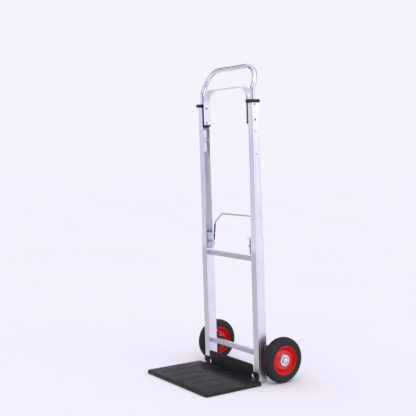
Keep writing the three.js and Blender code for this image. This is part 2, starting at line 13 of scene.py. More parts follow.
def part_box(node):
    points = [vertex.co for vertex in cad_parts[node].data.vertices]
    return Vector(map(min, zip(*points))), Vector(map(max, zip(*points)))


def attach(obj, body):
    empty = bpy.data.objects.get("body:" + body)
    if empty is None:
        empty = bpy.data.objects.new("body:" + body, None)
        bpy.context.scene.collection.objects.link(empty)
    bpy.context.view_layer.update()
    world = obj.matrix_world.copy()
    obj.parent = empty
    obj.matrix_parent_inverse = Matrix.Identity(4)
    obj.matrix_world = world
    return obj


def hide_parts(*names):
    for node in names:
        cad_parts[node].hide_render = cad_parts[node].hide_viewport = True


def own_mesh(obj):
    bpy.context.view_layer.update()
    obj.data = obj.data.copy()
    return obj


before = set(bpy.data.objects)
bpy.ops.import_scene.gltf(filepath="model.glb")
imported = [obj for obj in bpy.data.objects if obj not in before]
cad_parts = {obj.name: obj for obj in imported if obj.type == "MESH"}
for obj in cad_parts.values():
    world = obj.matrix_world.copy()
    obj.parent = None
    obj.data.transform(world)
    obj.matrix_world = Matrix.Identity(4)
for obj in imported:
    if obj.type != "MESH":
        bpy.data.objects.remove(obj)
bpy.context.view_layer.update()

# ---------- driving sizes, in millimetres ----------
MM = 0.001
LEAN = math.radians(2.2)
HINGE_AHEAD = 14            # the toe hinge lies this far in front of the rails' feet
GAP = 0.3                   # clearance that the frame leaves between pieces

# s runs up the rails; a wire's or a bar's size is its radius
# the grip's tube is drawn just inside the frame's, and leans back above the caps
GRIP = {"frame_radius": 9.5, "radius": 9.4, "short": 0.4, "corner": 74}
SET_BACK = {"from": 1148, "blend": 24, "slope": 0.38}
ARCH = {"thick": 3, "corner": 50, "edge": 0.7}
PIN = {
    "radius": 4.0, "button": 5.0, "button_long": 4, "shaft": 2.6,
    "collar": 7.5, "collar_from": 143.6, "collar_to": 146.0,
}
SPRING = {"wire": 0.6, "turns": 7, "steps_in_turn": 18, "end_closing": 0.35}
BAIL = {
    "wire": 2.5, "leg_x": 140, "y": 31.5, "s": 512, "knee_s": 612, "knee_y": 43,
    "top_x": 96, "top_s": 650, "top_y": 47, "foot_bend": 3, "knee_bend": 14,
}
SLEEVE = {"low": 522, "high": 606, "radius": 3.1, "rib": 0.45, "pitch": 5.2}
TREAD = {"count": 44, "height": 2.0, "root": 0.5, "inner": 1.8, "outer": 18.6, "share": 0.58, "skew": 0.55}
RIM_RIVET = {"y": -9.6, "z": 25.5, "face": 13.0, "radius": 4.0}


def about_floor():
    """Where the foot of the rails' own frame, on the floor, lies along Y."""
    low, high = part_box("toe_hinge_rod")
    return (low.y + high.y) / 2 + HINGE_AHEAD * MM


UPRIGHT = Matrix.Translation((0, about_floor(), 0)) @ Matrix.Scale(MM, 4)
LEANING = UPRIGHT @ Matrix.Rotation(LEAN, 4, "X")
MIRRORED = Matrix.Scale(-1, 4, (1, 0, 0))
SIDES = (("right", Matrix.Identity(4)), ("left", MIRRORED))


def span(node, place=LEANING):
    """A node's lowest and highest corners in millimetres, in the rails' frame or the upright one."""
    back = place.inverted()
    corners = [back @ v.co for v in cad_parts[node].data.vertices]
    low = Vector([min(c[i] for c in corners) for i in range(3)])
    high = Vector([max(c[i] for c in corners) for i in range(3)])
    return low, high


def centred(low, high):
    """The place of an X axis that runs through the middle between two corners."""
    return Matrix.Translation((0, (low.y + high.y) / 2, (low.z + high.z) / 2))


# ---------- materials ----------
def linear(code):
    """The linear colour of an sRGB hex code."""
    levels = [int(code[i:i + 2], 16) / 255 for i in (1, 3, 5)]
    return (*[v / 12.92 if v <= 0.04045 else ((v + 0.055) / 1.055) ** 2.4 for v in levels], 1)


def add_node(tree, kind, settings=None, links=None):
    """Adds a node; settings set its properties or sockets, links feed its sockets."""
    node = tree.nodes.new(kind)
    for key, value in (settings or {}).items():
        if isinstance(key, str) and hasattr(node, key):
            setattr(node, key, value)
        else:
            node.inputs[key].default_value = value
    for key, source in (links or {}).items():
        tree.links.new(source, node.inputs[key])
    return node


def new_finish(name, slot, **shader):
    """A material with a principled shader, and the record's slot that it goes by."""
    material = bpy.data.materials.new(name)
    material.use_nodes = True
    tree = material.node_tree
    tree.nodes.clear()
    settings = {k.replace("_", " "): v for k, v in shader.items()}
    surface = add_node(tree, "ShaderNodeBsdfPrincipled", settings)
    add_node(tree, "ShaderNodeOutputMaterial", links={"Surface": surface.outputs[0]})
    return {"material": material, "slot": slot, "tree": tree, "surface": surface}


def pattern(finish, size_mm, stretch=(1, 1, 1), turn=0.0, detail=2.0):
    """Noise whose cells are about size_mm across, drawn out along one axis by a small stretch."""
    tree = finish["tree"]
    where = add_node(tree, "ShaderNodeTexCoord")
    scale = [s / (size_mm * MM) for s in stretch]
    mapped = add_node(
        tree, "ShaderNodeMapping", {"Rotation": (turn, 0, 0), "Scale": scale},
        {"Vector": where.outputs["Object"]},
    )
    noise = add_node(
        tree, "ShaderNodeTexNoise", {"Scale": 1.0, "Detail": detail, "Roughness": 0.55},
        {"Vector": mapped.outputs[0]},
    )
    return noise.outputs["Fac"]


def colour_from(finish, amount, *codes):
    """The surface's colour, from the codes spread over the pattern's middle range."""
    ramp = add_node(finish["tree"], "ShaderNodeValToRGB", links={"Fac": amount})
    stops = ramp.color_ramp.elements
    while len(stops) < len(codes):
        stops.new(0.5)
    for i, code in enumerate(codes):
        stops[i].position = 0.3 + 0.4 * i / (len(codes) - 1)
        stops[i].color = linear(code)
    finish["tree"].links.new(ramp.outputs["Color"], finish["surface"].inputs["Base Color"])


def roughness_from(finish, amount, low, high):
    """The surface's roughness, from low to high over the pattern's middle range."""
    ranged = add_node(
        finish["tree"], "ShaderNodeMapRange",
        {"From Min": 0.3, "From Max": 0.7, "To Min": low, "To Max": high}, {"Value": amount},
    )
    finish["tree"].links.new(ranged.outputs["Result"], finish["surface"].inputs["Roughness"])


def relief_from(finish, amount, depth_mm, strength):
    """Fine relief of that depth, from the pattern."""
    bump = add_node(
        finish["tree"], "ShaderNodeBump",
        {"Strength": strength, "Distance": depth_mm * MM}, {"Height": amount},
    )
    finish["tree"].links.new(bump.outputs["Normal"], finish["surface"].inputs["Normal"])


def anodised(name, stretch, gloss, *tints):
    """Anodised aluminium, extruded: a satin metal with faint die lines along its length and a soft blur.

    Real die lines are 0.1 to 0.3 mm apart, too fine to show, so they are drawn 1.1 mm apart.
    """
    finish = new_finish(name, "anodised_aluminium", Metallic=1.0)
    lines = pattern(finish, 1.1, stretch, -LEAN, 3.0)
    clouds = pattern(finish, 90, (1, 1, 0.6), -LEAN)
    colour_from(finish, clouds, *tints)
    roughness_from(finish, lines, gloss, gloss + 0.12)
    relief_from(finish, lines, 0.012, 0.6)
    return finish


def bright_chrome():
    """Chrome plate on polished steel tube: mirror-bright and cool, with a slight ripple from buffing."""
    finish = new_finish("bright_chrome_plate", "chrome_tube", Metallic=1.0)
    ripple = pattern(finish, 26, (1, 1, 0.5))
    haze = pattern(finish, 9, detail=4.0)
    colour_from(finish, ripple, "#dcdde6", "#e8e9f0")
    roughness_from(finish, haze, 0.045, 0.1)
    relief_from(finish, ripple, 0.02, 0.4)
    return finish


def zinc(name, *tints):
    """Zinc plate, passivated, on pressed or turned steel: a dull silver with faint clouds of its tints."""
    finish = new_finish(name, "zinc_plate", Metallic=1.0)
    clouds = pattern(finish, 7, detail=3.0)
    grain = pattern(finish, 0.9, detail=2.0)
    colour_from(finish, clouds, *tints)
    roughness_from(finish, clouds, 0.27, 0.4)
    relief_from(finish, grain, 0.02, 0.5)
    return finish


def powder_coat():
    """Black powder coat, baked on pressed steel: satin, with the orange peel of the melted powder.

    The peel's cells are 0.6 to 1 mm, drawn 1.4 mm across so that they show.
    """
    finish = new_finish("black_powder_coat", "black_powder_coat", IOR=1.5, Specular_IOR_Level=0.38)
    peel = pattern(finish, 1.4, detail=1.0)
    clouds = pattern(finish, 60)
    colour_from(finish, clouds, "#151416", "#1c1b1d")
    roughness_from(finish, clouds, 0.4, 0.52)
    relief_from(finish, peel, 0.05, 0.55)
    return finish


def moulded_black():
    """Black polypropylene, injection moulded: matt, with the fine spark-eroded grain of its mould.

    The grain is about 0.1 mm, drawn 0.9 mm across so that it shows.
    """
    finish = new_finish("moulded_black_polypropylene", "black_plastic", IOR=1.49, Specular_IOR_Level=0.35)
    grain = pattern(finish, 0.9, detail=2.0)
    colour_from(finish, pattern(finish, 25), "#1a191d", "#242328")
    roughness_from(finish, grain, 0.46, 0.62)
    relief_from(finish, grain, 0.04, 0.5)
    return finish


def red_enamel():
    """Red stoving enamel on pressed steel: a deep red under a clear wet-looking skin with a slight peel."""
    finish = new_finish("red_stoving_enamel", "red_rim", IOR=1.45, Coat_Weight=0.25, Coat_Roughness=0.08)
    colour_from(finish, pattern(finish, 30), "#d20407", "#da070b")
    roughness_from(finish, pattern(finish, 12, detail=3.0), 0.28, 0.4)
    relief_from(finish, pattern(finish, 2.2, detail=1.0), 0.03, 0.5)
    return finish


def moulded_rubber():
    """Black tyre rubber, moulded: dark grey and dull, a little bloomed, with a faint grain from the mould."""
    finish = new_finish("moulded_tyre_rubber", "tyre_rubber", IOR=1.52, Specular_IOR_Level=0.35)
    bloom = pattern(finish, 18, detail=4.0)
    colour_from(finish, bloom, "#1d1b20", "#28262b")
    roughness_from(finish, bloom, 0.55, 0.75)
    relief_from(finish, pattern(finish, 1.0, detail=2.0), 0.05, 0.5)
    return finish


def natural_nylon():
    """Natural nylon, injection moulded: milky off-white, softly glossy, slightly cloudy."""
    finish = new_finish("natural_moulded_nylon", "nylon", IOR=1.53)
    colour_from(finish, pattern(finish, 12, detail=3.0), "#d2d0d3", "#dddbdc")
    roughness_from(finish, pattern(finish, 1.2), 0.38, 0.5)
    relief_from(finish, pattern(finish, 1.2), 0.02, 0.4)
    return finish


RAIL_ALUMINIUM = anodised("anodised_aluminium_drawn_up", (1, 1, 0.004), 0.26, "#e9e9ef", "#f1f1f5")
BAR_ALUMINIUM = anodised("anodised_aluminium_drawn_across", (0.004, 1, 1), 0.26, "#d6d3da", "#dedbe2")
STRAP_ALUMINIUM = anodised("anodised_aluminium_strap", (0.01, 1, 1), 0.42, "#dddce4", "#e6e5ec")
CHROME = bright_chrome()
ZINC = zinc("blue_zinc_plate", "#bdcbe2", "#d2d9e8", "#dcdddd")
WIRE_ZINC = zinc("clear_zinc_plate_on_wire", "#a3a3a9", "#b3b2b6", "#bfbdbc")
BRIGHT_ZINC = zinc("bright_zinc_plate", "#d6e1f2", "#e2e8f4", "#ebecf0")
RIVET_ZINC = zinc("dull_zinc_plate_on_rivets", "#7f8087", "#8d8e95", "#9b9b9f")
POWDER_COAT = powder_coat()
BLACK_PLASTIC = moulded_black()
RED_ENAMEL = red_enamel()
RUBBER = moulded_rubber()
NYLON = natural_nylon()


# ---------- shaping helpers ----------
def new_piece(name, mesh):
    """An object at the origin that holds the mesh."""
    piece = bpy.data.objects.new(name, mesh)
    bpy.context.scene.collection.objects.link(piece)
    return piece


def made_plain(piece):
    """Turns the result of a piece's modifiers into its own mesh."""
    bpy.context.view_layer.update()
    graph = bpy.context.evaluated_depsgraph_get()
    result = bpy.data.meshes.new_from_object(
        piece.evaluated_get(graph), preserve_all_data_layers=True, depsgraph=graph
    )
    result.name = piece.name
    piece.modifiers.clear()
    piece.data = result
    return piece


def facing_outwards(mesh, merge_mm=0.01):
    """Merges doubles, closing seams and poles, and points all faces outwards."""
    shape = bmesh.new()
    shape.from_mesh(mesh)
    bmesh.ops.remove_doubles(shape, verts=shape.verts, dist=merge_mm * MM)
    bmesh.ops.recalc_face_normals(shape, faces=shape.faces)
    shape.to_mesh(mesh)
    shape.free()


def fitted(piece, finish, body, *nodes):
    """Gives a piece its finish, the body it moves with and the nodes it stands for."""
    piece.data.materials.clear()
    piece.data.materials.append(finish["material"])
    if nodes:
        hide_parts(*nodes)
    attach(piece, body)
    return piece


def rounded(corners, radius, steps=4, closed=True):
    """An outline or a path whose corners are true arcs. radius is one number, or one for each corner."""
    corners = [Vector(c) for c in corners]
    radii = radius if hasattr(radius, "__len__") else [radius] * len(corners)
    points = []
    for i, corner in enumerate(corners):
        ends = not closed and i in (0, len(corners) - 1)
        back = corners[i - 1] - corner
        on = corners[(i + 1) % len(corners)] - corner
        half = back.angle(on) / 2
        if ends or radii[i] <= 0 or math.pi - 2 * half < 0.02:
            points.append(corner)
            continue
        reach = min(radii[i] / math.tan(half), 0.49 * back.length, 0.49 * on.length)
        inwards = (back.normalized() + on.normalized()).normalized()
        centre = corner + inwards * (reach / math.cos(half))
        start = corner + back.normalized() * reach - centre
        end = corner + on.normalized() * reach - centre
        sweep = math.pi - 2 * half
        for k in range(steps + 1):
            t = k / steps
            along = start * math.sin((1 - t) * sweep) + end * math.sin(t * sweep)
            points.append(centre + along / math.sin(sweep))
    return points


def smoothed(points, steps=4):
    """An open line drawn smoothly through its points."""
    points = [Vector(p) for p in points]
    ends = [2 * points[0] - points[1], *points, 2 * points[-1] - points[-2]]
    made = []
    for a, b, c, d in zip(ends, ends[1:], ends[2:], ends[3:]):
        for k in range(steps):
            t = k / steps
            square, cube = 2 * a - 5 * b + 4 * c - d, 3 * b - a - 3 * c + d
            made.append(0.5 * (2 * b + (c - a) * t + square * t * t + cube * t ** 3))
    return [*made, points[-1]]


def spun(name, outline, place, sides=48):
    """A closed outline of (radius, along) spun about the X axis of its place."""
    shape = bmesh.new()
    rings = []
    for k in range(sides):
        turn = 2 * math.pi * k / sides
        ring = [place @ Vector((x, r * math.cos(turn), r * math.sin(turn))) for r, x in outline]
        rings.append([shape.verts.new(point) for point in ring])
    for ring, following in zip(rings, rings[1:] + rings[:1]):
        for i in range(len(outline)):
            j = (i + 1) % len(outline)
            if outline[i][0] + outline[j][0] > 1e-6:
                shape.faces.new((ring[i], ring[j], following[j], following[i]))
    mesh = bpy.data.meshes.new(name)
    shape.to_mesh(mesh)
    shape.free()
    facing_outwards(mesh)
    return shaded(new_piece(name, mesh))


def shaded(piece, sharp_degrees=38):
    """Smooth shading that breaks at sharp edges."""
    piece.data.shade_smooth()
    piece.data.set_sharp_from_angle(angle=math.radians(sharp_degrees))
    return piece


def edges_rounded(piece, edge_mm, segments, sharp_degrees):
    """Rounds the edges that are sharper than that, and keeps the result as the piece's plain mesh."""
    bevel = piece.modifiers.new("rounded edges", "BEVEL")
    bevel.width = edge_mm * MM
    bevel.segments = segments
    bevel.limit_method = "ANGLE"
    bevel.angle_limit = math.radians(sharp_degrees)
    bevel.harden_normals = True
    bevel.use_clamp_overlap = True
    return made_plain(piece)


def eased(node, form, edge_mm, finish, body, segments=2):
    """A node's own shape with its edges rounded, as the real press, die or mould leaves them."""
    piece = new_piece(f"{node}_{form}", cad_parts[node].data.copy())
    mesh = piece.data
    mesh.name = piece.name
    shape = bmesh.new()
    shape.from_mesh(mesh)
    bmesh.ops.remove_doubles(shape, verts=shape.verts, dist=0.002 * MM)
    bmesh.ops.dissolve_limit(shape, angle_limit=math.radians(0.6), verts=shape.verts, edges=shape.edges)
    shape.to_mesh(mesh)
    shape.free()
    if mesh.attributes.get("custom_normal"):
        mesh.attributes.remove(mesh.attributes["custom_normal"])
    mesh.shade_smooth()
    return fitted(edges_rounded(piece, edge_mm, segments, 32), finish, body, node)


def prism(name, outline, front, back, edge_mm):
    """A shape drawn in (x, s) of the rails' frame, made solid from front to back along Y."""
    shape = bmesh.new()
    near = [shape.verts.new(LEANING @ Vector((x, front, s))) for x, s in outline]
    far = [shape.verts.new(LEANING @ Vector((x, back, s))) for x, s in outline]
    shape.faces.new(near)
    shape.faces.new(reversed(far))
    for i in range(len(outline)):
        j = (i + 1) % len(outline)
        shape.faces.new((near[j], near[i], far[i], far[j]))
    mesh = bpy.data.meshes.new(name)
    shape.to_mesh(mesh)
    shape.free()
    facing_outwards(mesh)
    mesh.shade_smooth()
    return edges_rounded(new_piece(name, mesh), edge_mm, 3, 40)


# ---------- geometry nodes: what follows a line or repeats ----------
def new_tree(name, inputs):
    """A geometry tree with named inputs. Gives the tree, its input node and the sockets' identifiers."""
    tree = bpy.data.node_groups.new(name, "GeometryNodeTree")
    tree.interface.new_socket("Geometry", in_out="OUTPUT", socket_type="NodeSocketGeometry")
    tree.interface.new_socket("Geometry", in_out="INPUT", socket_type="NodeSocketGeometry")
    keys = {}
    for label, kind in {**inputs, "Finish": "Material"}.items():
        socket = tree.interface.new_socket(label, in_out="INPUT", socket_type=f"NodeSocket{kind}")
        keys[label] = socket.identifier
    return tree, add_node(tree, "NodeGroupInput"), keys


def end_tree(tree, given, geometry):
    """Ends a tree with real geometry, smooth shading and the finish."""
    real = add_node(tree, "GeometryNodeRealizeInstances", links={"Geometry": geometry})
    smooth = add_node(tree, "GeometryNodeSetShadeSmooth", links={"Geometry": real.outputs[0]})
    finish = add_node(
        tree, "GeometryNodeSetMaterial",
        links={"Geometry": smooth.outputs[0], "Material": given.outputs["Finish"]},
    )
    add_node(tree, "NodeGroupOutput", links={"Geometry": finish.outputs[0]})


def bar_on_line(tree, given):
    """The tree's part that runs a round section along the piece's line. Gives line, section and bar."""
    line = add_node(tree, "GeometryNodeMeshToCurve", links={"Mesh": given.outputs["Geometry"]})
    section = add_node(
        tree, "GeometryNodeCurvePrimitiveCircle",
        links={"Radius": given.outputs["Radius"], "Resolution": given.outputs["Sides"]},
    )
    bar = add_node(
        tree, "GeometryNodeCurveToMesh", {"Fill Caps": True},
        {"Curve": line.outputs[0], "Profile Curve": section.outputs[0]},
    )
    return line, section, bar


def round_bar_tree():
    """A round bar or tube that follows the piece's own line."""
    tree, given, keys = new_tree("round_bar_on_line", {"Radius": "Float", "Sides": "Int"})
    end_tree(tree, given, bar_on_line(tree, given)[2].outputs[0])
    return tree, keys


def ribbed_sleeve_tree():
    """A soft sleeve on the piece's own line, with a thin rib every pitch."""
    tree, given, keys = new_tree(
        "ribbed_sleeve_on_line", {"Radius": "Float", "Rib": "Float", "Pitch": "Float", "Sides": "Int"}
    )
    line, section, sleeve = bar_on_line(tree, given)
    stations = add_node(
        tree, "GeometryNodeCurveToPoints", {"mode": "LENGTH"},
        {"Curve": line.outputs[0], "Length": given.outputs["Pitch"]},
    )
    wire = add_node(
        tree, "GeometryNodeCurvePrimitiveCircle", {"Resolution": 8}, {"Radius": given.outputs["Rib"]}
    )
    rib = add_node(
        tree, "GeometryNodeCurveToMesh", links={"Curve": section.outputs[0], "Profile Curve": wire.outputs[0]}
    )
    ribs = add_node(
        tree, "GeometryNodeInstanceOnPoints",
        links={
            "Points": stations.outputs["Points"], "Instance": rib.outputs[0],
            "Rotation": stations.outputs["Rotation"],
        },
    )
    whole = add_node(tree, "GeometryNodeJoinGeometry")
    tree.links.new(sleeve.outputs[0], whole.inputs[0])
    tree.links.new(ribs.outputs[0], whole.inputs[0])
    end_tree(tree, given, whole.outputs[0])
    return tree, keys


def fastener_tree():
    """A fastener on each point of the piece, its head looking along the point's own direction."""
    tree, given, keys = new_tree("fastener_on_each_point", {"Fastener": "Object", "Size": "Float"})
    head = add_node(tree, "GeometryNodeObjectInfo", links={"Object": given.outputs["Fastener"]})
    outwards = add_node(
        tree, "GeometryNodeInputNamedAttribute", {"data_type": "FLOAT_VECTOR", "Name": "outwards"}
    )
    turn = add_node(
        tree, "FunctionNodeAlignRotationToVector", {"axis": "Z"}, {"Vector": outwards.outputs["Attribute"]}
    )
    heads = add_node(
        tree, "GeometryNodeInstanceOnPoints",
        links={
            "Points": given.outputs["Geometry"], "Instance": head.outputs["Geometry"],
            "Rotation": turn.outputs[0], "Scale": given.outputs["Size"],
        },
    )
    end_tree(tree, given, heads.outputs[0])
    return tree, keys


def tread_tree():
    """The piece's own tread block, repeated evenly about the X axis."""
    tree, given, keys = new_tree("tread_blocks_about_axle", {"Count": "Int", "Step": "Float"})
    places = add_node(
        tree, "GeometryNodeMeshLine", {"Offset": (0, 0, 0)}, {"Count": given.outputs["Count"]}
    )
    index = add_node(tree, "GeometryNodeInputIndex")
    angle = add_node(
        tree, "ShaderNodeMath", {"operation": "MULTIPLY"}, {0: index.outputs[0], 1: given.outputs["Step"]}
    )
    turn = add_node(tree, "ShaderNodeCombineXYZ", links={"X": angle.outputs[0]})
    blocks = add_node(
        tree, "GeometryNodeInstanceOnPoints",
        links={
            "Points": places.outputs[0], "Instance": given.outputs["Geometry"], "Rotation": turn.outputs[0],
        },
    )
    end_tree(tree, given, blocks.outputs[0])
    return tree, keys


ROUND_BAR = round_bar_tree()
RIBBED_SLEEVE = ribbed_sleeve_tree()
FASTENERS = fastener_tree()
TREAD_BLOCKS = tread_tree()


def grown(piece, made_by, finish, **inputs):
    """Runs a geometry tree on a piece and keeps the result as its plain mesh."""
    tree, keys = made_by
    modifier = piece.modifiers.new(tree.name, "NODES")
    modifier.node_group = tree
    for label, value in {**inputs, "Finish": finish["material"]}.items():
        modifier[keys[label]] = value
    return made_plain(piece)


def line_piece(name, points, place=LEANING):
    """A bare line through the points, for a tree to follow."""
    mesh = bpy.data.meshes.new(name)
    mesh.from_pydata([place @ Vector(p) for p in points], [(i, i + 1) for i in range(len(points) - 1)], [])
    return new_piece(name, mesh)


def round_bar(name, points, radius_mm, sides, finish, place=LEANING):
    """A round bar or tube through the points, its ends closed."""
    bar = grown(line_piece(name, points, place), ROUND_BAR, finish, Radius=radius_mm * MM, Sides=sides)
    facing_outwards(bar.data)
    return shaded(bar, 50)


# ---------- camera ----------
def place_camera():
    """Eye level a little under the cap height, off the right front corner, looking slightly down."""
    camera = bpy.data.objects.new("camera", bpy.data.cameras.new("camera"))
    bpy.context.scene.collection.objects.link(camera)
    camera.location = (2.49477, -1.85411, 0.8612)
    camera.rotation_euler = (math.radians(90 - 3.3), 0, math.radians(54.39))
    camera.data.sensor_width = 36
    camera.data.lens = 67.13
    camera.data.clip_end = 200
    bpy.context.scene.camera = camera


# ---------- rails, crossbars and feet ----------
def dress_rails():
    """Extruded rails and crossbars with eased edges, and the moulded feet and slide shoes in them."""
    for side, _ in SIDES:
        eased(f"{side}_lower_rail", "extrusion", 0.35, RAIL_ALUMINIUM, "lower_frame")
        eased(f"{side}_upper_rail", "extrusion", 0.3, RAIL_ALUMINIUM, "upper_frame")
        eased(f"{side}_rail_foot", "moulding", 0.8, NYLON, "lower_frame")
        eased(f"{side}_slide_shoe", "moulding", 0.5, NYLON, "upper_frame")
    eased("upper_crossbar", "extrusion", 0.4, BAR_ALUMINIUM, "lower_frame")
    eased("lower_crossbar", "extrusion", 0.4, BAR_ALUMINIUM, "lower_frame")


# ---------- grip, arch and caps ----------
def build_grip():
    """The chrome tube: straight legs out of the caps, a set-back, two round corners and a level grip."""
    low, high = span("handle_tube")
    leg_x = high.x - GRIP["frame_radius"]
    leg_y = low.y + GRIP["frame_radius"]
    top = high.z - GRIP["frame_radius"] - GRIP["short"]
    corner = GRIP["corner"]

    def set_back(s):
        blend = SET_BACK["blend"]
        past = max(0.0, s - SET_BACK["from"] + blend / 2)
        eased_in = min(past, blend)
        return leg_y + SET_BACK["slope"] * (eased_in ** 2 / (2 * blend) + past - eased_in)

    straight_to, step, bend_steps = 1100, 4, 20
    flat = [(leg_x, low.z)] + [(leg_x, s) for s in range(straight_to, int(top - corner), step)]
    for k in range(bend_steps + 1):
        turn = k / bend_steps * math.pi / 2
        flat.append((leg_x - corner + corner * math.cos(turn), top - corner + corner * math.sin(turn)))
    right = [Vector((x, set_back(s), s)) for x, s in flat]
    left = [Vector((-p.x, p.y, p.z)) for p in reversed(right)]
    tube = round_bar("handle_tube_chromed", right + left, GRIP["radius"], 40, CHROME)
    fitted(tube, CHROME, "upper_frame", "handle_tube")


def build_arch():
    """The flat strap that arches between the caps, bent from one strip."""
    low, high = span("arch_brace")
    corner, thick = ARCH["corner"], ARCH["thick"]
    x, top = high.x, high.z
    outer = rounded([(x, low.z), (x, top), (-x, top), (-x, low.z)], corner, 16, closed=False)
    x, top = high.x - thick, high.z - thick
    inner = rounded([(-x, low.z), (-x, top), (x, top), (x, low.z)], corner - thick, 16, closed=False)
    arch = prism("arch_brace_strap", outer + inner, low.y, high.y, ARCH["edge"])
    fitted(arch, STRAP_ALUMINIUM, "upper_frame", "arch_brace")


def dress_caps():
    """Moulded caps, the clamp blocks under them, and the through rivets with a dome at each end."""
    for side, _ in SIDES:
        eased(f"{side}_rail_cap", "moulding", 0.9, BLACK_PLASTIC, "upper_frame", 3)
        eased(f"{side}_grip_clamp", "block", 0.9, ZINC, "upper_frame", 3)
        for level in ("lower", "upper"):
            node = f"{side}_{level}_handle_rivet"
            low, high = span(node)
            place = LEANING @ centred(low, high)
            head, shank, dome = (high.z - low.z) / 2, 2.5, 1.5
            end = [
                (0, 0), (0.45 * head, 0.08 * dome), (0.8 * head, 0.4 * dome), (head, dome), (shank, dome),
            ]
            outline = [(r, low.x + deep) for r, deep in end]
            outline += [(r, high.x - deep) for r, deep in reversed(end)]
            fitted(spun(f"{node}_turned", outline, place, 28), RIVET_ZINC, "upper_frame", node)


# ---------- slide lock ----------
def build_locks():
    """Pressed strikers and housings, and the turned pins with a button, a collar and a rounded tip."""
    low, high = span("right_lock_pin")
    axis = centred(low, high)
    tail, tip, shaft, collar, pin = low.x, high.x, PIN["shaft"], PIN["collar"], PIN["radius"]
    button, button_end = PIN["button"], low.x + PIN["button_long"]
    start, end = PIN["collar_from"], PIN["collar_to"]
    section = [
        (0, tail), (button, tail), (button, button_end), (shaft, button_end), (shaft, start),
        (collar, start), (collar, end), (pin, end), (pin, tip), (0, tip),
    ]
    outline = rounded(section, [0, 1.4, 0.8, 0.3, 0.3, 0.5, 0.5, 0.3, 1.0, 0], 3)
    for side, flip in SIDES:
        eased(f"{side}_upper_striker", "pressing", 0.5, ZINC, "upper_frame")
        eased(f"{side}_lower_striker", "pressing", 0.5, ZINC, "upper_frame")
        eased(f"{side}_lock_housing", "pressing", 0.5, ZINC, "lower_frame")
        node = f"{side}_lock_pin"
        fitted(spun(f"{node}_turned", outline, flip @ LEANING @ axis, 32), ZINC, node, node)
        build_spring(side, flip)


def build_spring(side, flip):
    """A fine compression spring between the housing's bridge and the pin's collar, with closed end coils."""
    low, high = span("right_lock_spring")
    y, s = (low.y + high.y) / 2, (low.z + high.z) / 2
    wire = SPRING["wire"]
    coil = (high.z - low.z) / 2 - wire
    first, last = low.x + wire, high.x - wire
    steps = SPRING["turns"] * SPRING["steps_in_turn"]
    points = []
    for k in range(steps + 1):
        t = k / steps
        closed_ends = t - SPRING["end_closing"] * math.sin(4 * math.pi * t) / (4 * math.pi)
        turn = 2 * math.pi * SPRING["turns"] * t
        x = first + (last - first) * closed_ends
        points.append((x, y + coil * math.cos(turn), s + coil * math.sin(turn)))
    node = f"{side}_lock_spring"
    spring = round_bar(f"{node}_coil", points, wire, 8, ZINC, flip @ LEANING)
    fitted(spring, ZINC, "lower_frame", node)
    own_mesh(spring)


def build_bail():
    """The release bail: a bent wire loop pivoting on two feet, with ribbed sleeves on its legs."""
    foot = span("bail_wire")[1].x
    b = BAIL
    half = [
        (foot, b["y"], b["s"]), (b["leg_x"], b["y"], b["s"]),
        (b["leg_x"], b["knee_y"], b["knee_s"]), (b["top_x"], b["top_y"], b["top_s"]),
    ]
    corners = half + [(-x, y, s) for x, y, s in reversed(half)]
    foot_bend, knee_bend = b["foot_bend"], b["knee_bend"]
    bends = [0, foot_bend, knee_bend, knee_bend, knee_bend, knee_bend, foot_bend, 0]
    points = rounded(corners, bends, 10, closed=False)
    wire = round_bar("bail_wire_bent", points, b["wire"], 18, WIRE_ZINC)
    fitted(wire, WIRE_ZINC, "release_bail", "bail_wire")
    rise = (b["knee_y"] - b["y"]) / (b["knee_s"] - b["s"])
    for side, flip in SIDES:
        ends = [(b["leg_x"], b["y"] + rise * (s - b["s"]), s) for s in (SLEEVE["low"], SLEEVE["high"])]
        sleeve = grown(
            line_piece(f"{side}_bail_sleeve_ribbed", ends, flip @ LEANING), RIBBED_SLEEVE, BLACK_PLASTIC,
            Radius=SLEEVE["radius"] * MM, Rib=SLEEVE["rib"] * MM, Pitch=SLEEVE["pitch"] * MM, Sides=24,
        )
        facing_outwards(sleeve.data)
        fitted(shaded(sleeve, 50), BLACK_PLASTIC, "release_bail", f"{side}_bail_sleeve")
        low, high = span("right_release_cam")
        place = flip @ LEANING @ centred(low, high)
        disc, bore = (high.z - low.z) / 2, 2.7
        section = [(bore, low.x), (disc, low.x), (disc, high.x), (bore, high.x)]
        outline = rounded(section, [0.2, 0.7, 0.7, 0.2], 3)
        cam = spun(f"{side}_release_cam_turned", outline, place, 28)
        fitted(cam, ZINC, "release_bail", f"{side}_release_cam")


# ---------- toe plate, its hinge and the base plate ----------
def dress_toe_plate():
    """The pressed toe plate and base plate, and the drawn hinge rod with rounded ends."""
    eased("toe_plate", "pressing", 0.6, POWDER_COAT, "toe_plate")
    eased("base_plate", "pressing", 0.6, POWDER_COAT, "lower_frame")
    low, high = span("toe_hinge_rod", UPRIGHT)
    place = UPRIGHT @ centred(low, high)
    radius = 3
    outline = rounded([(0, low.x), (radius, low.x), (radius, high.x), (0, high.x)], [0, 0.8, 0.8, 0], 3)
    rod = spun("toe_hinge_rod_drawn", outline, place, 20)
    fitted(rod, ZINC, "lower_frame", "toe_hinge_rod")


